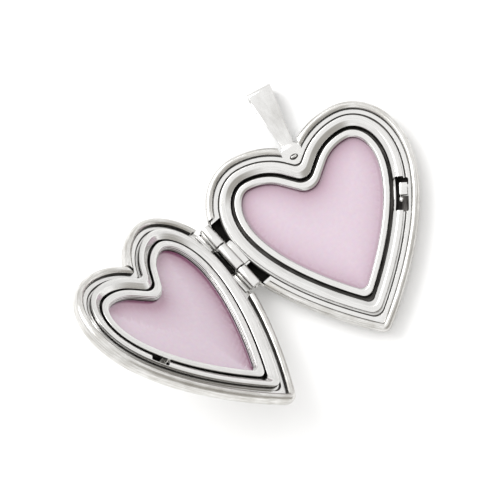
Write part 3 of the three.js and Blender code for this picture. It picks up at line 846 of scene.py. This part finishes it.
def knuckle(name, span):
    x0, x1 = span[0] + KNUCKLE_PLAY, span[1] - KNUCKLE_PLAY
    tube = rod(KNUCKLE_RADIUS, x0, x1, hinge_place, 96)
    tube.name = name
    leaf_low = -(RIM_DEPTH - RIM_GAP)
    ease_edges(tube, 0.05)
    leaf = block(
        (x0 + 0.1, x1 - 0.1), (-LEAF_REACH, -0.2), (leaf_low, leaf_low + LEAF_SHEET), hinge_place
    )
    ease_edges(leaf, 0.04)
    boolean(tube, leaf, "UNION")
    boolean(tube, rod(PIN_RADIUS + PIN_FIT, x0 - 1, x1 + 1, hinge_place), "DIFFERENCE")
    tube.data.materials.clear()
    tube.data.materials.append(bright_silver)
    return tube


rear_knuckle = knuckle("rear_knuckle_look", MIDDLE_SPAN)
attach(rear_knuckle, "rear_half")
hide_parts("rear_knuckle")
for place_name, span in (("upper", UPPER_SPAN), ("lower", LOWER_SPAN)):
    piece = knuckle(f"front_knuckle_{place_name}_look", span)
    turn_over(piece)
    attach(piece, "cover")
    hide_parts(f"front_knuckle_{place_name}")


pin_end = UPPER_SPAN[1]
pin_profile = [(pin_end + PIN_HEAD, 0)]
for i in range(1, 9):
    a = math.pi / 2 * i / 8
    pin_profile.append((pin_end + PIN_HEAD * math.cos(a), PIN_RADIUS * math.sin(a)))
pin = turned("pin_look", pin_profile + [(-x, r) for x, r in pin_profile[::-1]], hinge_place)
turn_over(pin)
pin.data.materials.append(bright_silver)
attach(pin, "cover")
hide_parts("hinge_pin")

# ---------------------------------------------------------------------------------------------
# Bail. A strap of silver sheet, wide at the top, is folded over into a loop for the chain. Its
# two ends lie together at the neck and close round a wire staple under the tab. A small peg, a
# round bar, lies in the tab's hollow.
# ---------------------------------------------------------------------------------------------
BAIL_LENGTH = 6.5
BAIL_NECK = 1.15
BAIL_TOP = 2.48
STRAP = 0.2
STRAP_ROUND = 0.085
FOLD_BEND = 0.34
LOOP = 1.1
NECK_START = 0.5
NECK_END = 1.3
STAPLE_WIRE = 0.14
STAPLE_BEND = 0.2
STAPLE_FIT = 0.05
EYE = STAPLE_WIRE + STAPLE_FIT
EYE_START = 38  # degrees round the staple where the strap's one end leaves the neck
EYE_TURN = 284
STAPLE = Vector((0, CLEFT_Y + 0.15, HALF_DEPTH - 1.08))


def curve_points(a, b, c, d, steps):
    """Points along a smooth curve from a to d that b and c pull on, without d itself."""
    for i in range(steps):
        s = i / steps
        yield a * (1 - s) ** 3 + b * 3 * s * (1 - s) ** 2 + c * 3 * s * s * (1 - s) + d * s**3


def strap_path():
    """The middle of the strap's thickness, in the (out, up) plane, once round."""
    seam = STRAP / 2 + 0.012
    top = BAIL_LENGTH - STRAP / 2
    high = LOOP - STRAP / 2
    neck = Vector((NECK_END, seam))
    shoulder_end = Vector((top - FOLD_BEND - 0.35, high))
    climb = [neck, neck + Vector((1.2, 0.12)), shoulder_end - Vector((1.6, 0.24)), shoulder_end]
    path = [Vector((NECK_START + 0.2 * i, seam)) for i in range(4)]
    path += list(curve_points(*climb, 26))
    corner = Vector((top - FOLD_BEND, high - FOLD_BEND))
    for i in range(11):
        a = math.pi / 2 - math.pi / 2 * i / 10
        path.append(corner + FOLD_BEND * Vector((math.cos(a), math.sin(a))))
    path += [Vector((p.x, -p.y)) for p in path[:3:-1]]
    path += [Vector((NECK_END - 0.2 * i, -seam)) for i in range(1, 5)]
    eye = EYE + STRAP / 2
    for i in range(21):
        a = -math.radians(EYE_START) - math.radians(EYE_TURN) * i / 20
        path.append(Vector((eye * math.cos(a), eye * math.sin(a))))
    return path


def strap_width(out):
    share = max(0, (out - EYE - STRAP) / (BAIL_LENGTH - EYE - STRAP))
    return BAIL_NECK + (BAIL_TOP - BAIL_NECK) * share


def ribbon(name, path, widths, thickness, edge, place, closed):
    """A strap of round-edged rectangular section along a path in the (y, z) plane."""
    mesh = bmesh.new()
    uv = mesh.loops.layers.uv.new("along")
    count = len(path)
    rings = []
    for i, p in enumerate(path):
        before = path[i - 1] if closed or i else path[i]
        after = path[(i + 1) % count] if closed or i < count - 1 else path[i]
        along = (after - before).normalized()
        out = Vector((-along.y, along.x))
        half, wide = thickness / 2, widths[i] / 2
        section = []
        for sx, sy in ((1, 1), (-1, 1), (-1, -1), (1, -1)):
            turn = math.atan2(sy, sx) - math.pi / 4
            for k in range(4):
                a = turn + math.pi / 2 * k / 3
                x = sx * (wide - edge) + edge * math.cos(a)
                y = sy * (half - edge) + edge * math.sin(a)
                section.append((x, y))
        ring = []
        for x, y in section:
            spot = p + out * y
            ring.append(mesh.verts.new((place @ Vector((x, spot.x, spot.y))) * MM))
        rings.append(ring)
    run = 0.0
    size = len(rings[0])
    for i in range(count if closed else count - 1):
        a, b = rings[i], rings[(i + 1) % count]
        step = (path[(i + 1) % count] - path[i]).length
        for k in range(size):
            j = (k + 1) % size
            face = mesh.faces.new((a[k], b[k], b[j], a[j]))
            spots = ((run, k), (run + step, k), (run + step, k + 1), (run, k + 1))
            for loop, (u, v) in zip(face.loops, spots):
                loop[uv].uv = (u, v * 0.2)
        run += step
    if not closed:
        mesh.faces.new(rings[0])
        mesh.faces.new(rings[-1])
    bmesh.ops.recalc_face_normals(mesh, faces=mesh.faces)
    return finished(name, mesh)


strap = strap_path()
strap_widths = [strap_width(p.x) for p in strap]
bail_place = Matrix.Translation(STAPLE)
bail = ribbon("bail_look", strap, strap_widths, STRAP, STRAP_ROUND, bail_place, True)
bail.data.materials.append(bright_silver)
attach(bail, "bail")
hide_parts("bail_strap")

staple_half = BAIL_NECK / 2 + STAPLE_FIT + STAPLE_WIRE
staple_top = HALF_DEPTH - RIM_DEPTH - PLATE_SHEET - 0.02
staple_corner = Vector((-staple_half + STAPLE_BEND, STAPLE.z + STAPLE_BEND))
staple_line = [Vector((-staple_half, staple_top))]
for i in range(9):
    a = math.pi + math.pi / 2 * i / 8
    staple_line.append(staple_corner + STAPLE_BEND * Vector((math.cos(a), math.sin(a))))
staple_line += [Vector((-p.x, p.y)) for p in staple_line[::-1]]


def wire(name, line, radius, y, steps=20):
    """A round wire bent in a plane across the heart."""
    mesh = bmesh.new()
    rings = []
    for i, p in enumerate(line):
        along = (line[min(i + 1, len(line) - 1)] - line[max(i - 1, 0)]).normalized()
        out = Vector((-along.y, along.x))
        ring = []
        for k in range(steps):
            a = 2 * math.pi * k / steps
            spot = p + out * radius * math.cos(a)
            ring.append(mesh.verts.new(Vector((spot.x, y + radius * math.sin(a), spot.y)) * MM))
        rings.append(ring)
    for a, b in zip(rings, rings[1:]):
        for k in range(steps):
            j = (k + 1) % steps
            mesh.faces.new((a[k], b[k], b[j], a[j]))
    mesh.faces.new(rings[0])
    mesh.faces.new(rings[-1])
    bmesh.ops.recalc_face_normals(mesh, faces=mesh.faces)
    return finished(name, mesh)


staple = wire("staple_look", staple_line, STAPLE_WIRE, STAPLE.y)
staple.data.materials.append(bright_silver)
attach(staple, "rear_half")
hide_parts("bail_staple")

PEG_LENGTH = 0.62
PEG_RADIUS = 0.11
PEG_TOP = 0.14
PEG_Y = CLEFT_Y - 0.62
peg_straight = PEG_LENGTH / 2 - PEG_RADIUS
peg_end = [(-PEG_LENGTH / 2, 0)]
for i in range(1, 7):
    a = math.pi / 2 * i / 6
    peg_end.append((-peg_straight - PEG_RADIUS * math.cos(a), PEG_RADIUS * math.sin(a)))
peg_place = Matrix.Translation((0, PEG_Y, HALF_DEPTH - RIM_DEPTH + PEG_TOP - PEG_RADIUS))
peg = turned("peg_look", peg_end + [(-x, r) for x, r in peg_end[::-1]], peg_place)
peg.data.materials.append(bright_silver)
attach(peg, "rear_half")
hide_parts("bail_peg")

# ---------------------------------------------------------------------------------------------
# Catch. A spring tongue is soldered under the rear rim, comes up through the gap in the lip and
# turns over towards the edge. The cover has a straight lug that presses in behind it when shut.
# ---------------------------------------------------------------------------------------------
CATCH_SHEET = 0.17
CATCH_ROUND = 0.05
UNDER_RIM = RIM_DEPTH + PLATE_SHEET + 0.03
CATCH_FOOT = 0.5  # how far in from the edge both strips start
TONGUE_Y = LIP_START + 0.3
TONGUE_WIDTH = 1.15
TONGUE_SHIFT = 0.3
TONGUE_TOP = -0.06
NUB_REACH = 0.3
NUB_RADIUS = 0.22
LUG_WIDTH = 0.8
LUG_TOP = 0.3
LUG_FIT = 0.05


def bent_strip(name, corners, width, shift=0.0, radius=0.12):
    """A strip of sheet bent at each corner of its middle line."""
    line = [corners[0]]
    for a, b, c in zip(corners, corners[1:], corners[2:]):
        start = b + (a - b).normalized() * radius
        end = b + (c - b).normalized() * radius
        for i in range(7):
            s = i / 6
            line.append(start * (1 - s) ** 2 + b * 2 * s * (1 - s) + end * s * s)
    line.append(corners[-1])
    place = catch_place @ Matrix.Translation((shift, 0, 0))
    piece = ribbon(name, line, [width] * len(line), CATCH_SHEET, CATCH_ROUND, place, False)
    piece.data.materials.append(bright_silver)
    return piece


middle = CATCH_SHEET / 2
under = -UNDER_RIM - middle
tongue_y = TONGUE_Y + middle
tongue_corners = [
    Vector((CATCH_FOOT, under)),
    Vector((tongue_y, under)),
    Vector((tongue_y, TONGUE_TOP - middle)),
    Vector((SLOT_OUTER + 0.1, TONGUE_TOP - middle)),
]
tongue = bent_strip("tongue_look", tongue_corners, TONGUE_WIDTH, TONGUE_SHIFT)
nub_place = catch_place @ Matrix.Translation((-0.62, TONGUE_Y - 0.05, -RIM_DEPTH))
boolean(tongue, turned("nub", egg(NUB_REACH, NUB_RADIUS, 12), nub_place), "UNION")
foot_depth = (-UNDER_RIM - CATCH_SHEET, -RIM_DEPTH)
foot = block((-0.7, 0.1), (TONGUE_Y - 0.1, TONGUE_Y + 0.08), foot_depth, catch_place)
ease_edges(foot, CATCH_ROUND)
boolean(tongue, foot, "UNION")
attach(tongue, "rear_half")
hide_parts("catch_tongue")
lug_y = TONGUE_Y + CATCH_SHEET + LUG_FIT + middle
lug_corners = [Vector((CATCH_FOOT, under)), Vector((lug_y, under)), Vector((lug_y, LUG_TOP))]
lug = bent_strip("lug_look", lug_corners, LUG_WIDTH)
turn_over(lug)
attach(lug, "cover")
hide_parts("catch_lug")

# ---------------------------------------------------------------------------------------------
# Set. A plain pale table, a bright room whose near side is left darker for the silver to reflect,
# one large soft light from the upper left, and the camera.
# ---------------------------------------------------------------------------------------------
TABLE_HALF = 0.6
TABLE_DROP = 0.00002

scene = bpy.context.scene
sheet_of_paper = bmesh.new()
bmesh.ops.create_grid(sheet_of_paper, x_segments=8, y_segments=8, size=TABLE_HALF)
table = finished("table", sheet_of_paper)
table.location.z = -TABLE_DROP
paper = bpy.data.materials.new("white_paper")
paper.use_nodes = True
paper_shader = paper.node_tree.nodes["Principled BSDF"]
paper_shader.inputs["Base Color"].default_value = (0.97, 0.97, 0.97, 1)
paper_shader.inputs["Roughness"].default_value = 0.9
table.data.materials.append(paper)

room = bpy.data.worlds.new("room")
room.use_nodes = True
scene.world = room
nodes, links = room.node_tree.nodes, room.node_tree.links
direction = nodes.new("ShaderNodeTexCoord")
split = nodes.new("ShaderNodeSeparateXYZ")
links.new(direction.outputs["Generated"], split.inputs["Vector"])
height = nodes.new("ShaderNodeValToRGB")
height.color_ramp.elements[0].position = 0.0
height.color_ramp.elements[0].color = (0.8, 0.8, 0.8, 1)
height.color_ramp.elements[1].position = 0.6
height.color_ramp.elements[1].color = (0.93, 0.93, 0.93, 1)
links.new(split.outputs["Z"], height.inputs["Fac"])
towards = nodes.new("ShaderNodeVectorMath")
towards.operation = "DOT_PRODUCT"
towards.inputs[1].default_value = (0.447, -0.744, 0.496)
links.new(direction.outputs["Generated"], towards.inputs[0])
open_side = nodes.new("ShaderNodeMapRange")
open_side.interpolation_type = "SMOOTHSTEP"
open_side.inputs["From Min"].default_value = 0.61
open_side.inputs["From Max"].default_value = 0.95
links.new(towards.outputs["Value"], open_side.inputs["Value"])
tent = nodes.new("ShaderNodeMix")
tent.data_type = "RGBA"
tent.inputs["B"].default_value = (0.42, 0.405, 0.38, 1)
links.new(open_side.outputs["Result"], tent.inputs["Factor"])
links.new(height.outputs["Color"], tent.inputs["A"])
links.new(tent.outputs["Result"], nodes["Background"].inputs["Color"])
nodes["Background"].inputs["Strength"].default_value = 1.3


def soft_light(name, spot, size, power):
    data = bpy.data.lights.new(name, "AREA")
    data.shape = "RECTANGLE"
    data.size, data.size_y = size
    data.energy = power
    light = bpy.data.objects.new(name, data)
    light.location = spot
    light.rotation_euler = (-Vector(spot)).to_track_quat("-Z", "Y").to_euler()
    scene.collection.objects.link(light)


soft_light("key", (-0.24, 0.34, 0.46), (0.42, 0.42), 2.0)

lens = bpy.data.cameras.new("camera")
lens.sensor_width = 36
lens.lens = 295.3
camera = bpy.data.objects.new("camera", lens)
camera.location = (-0.01461, -0.09498, 0.36338)
camera.rotation_euler = [math.radians(a) for a in (13.836, 5.997, -27.131)]
scene.collection.objects.link(camera)
scene.camera = camera
scene.view_settings.view_transform = "Standard"

bpy.context.view_layer.update()
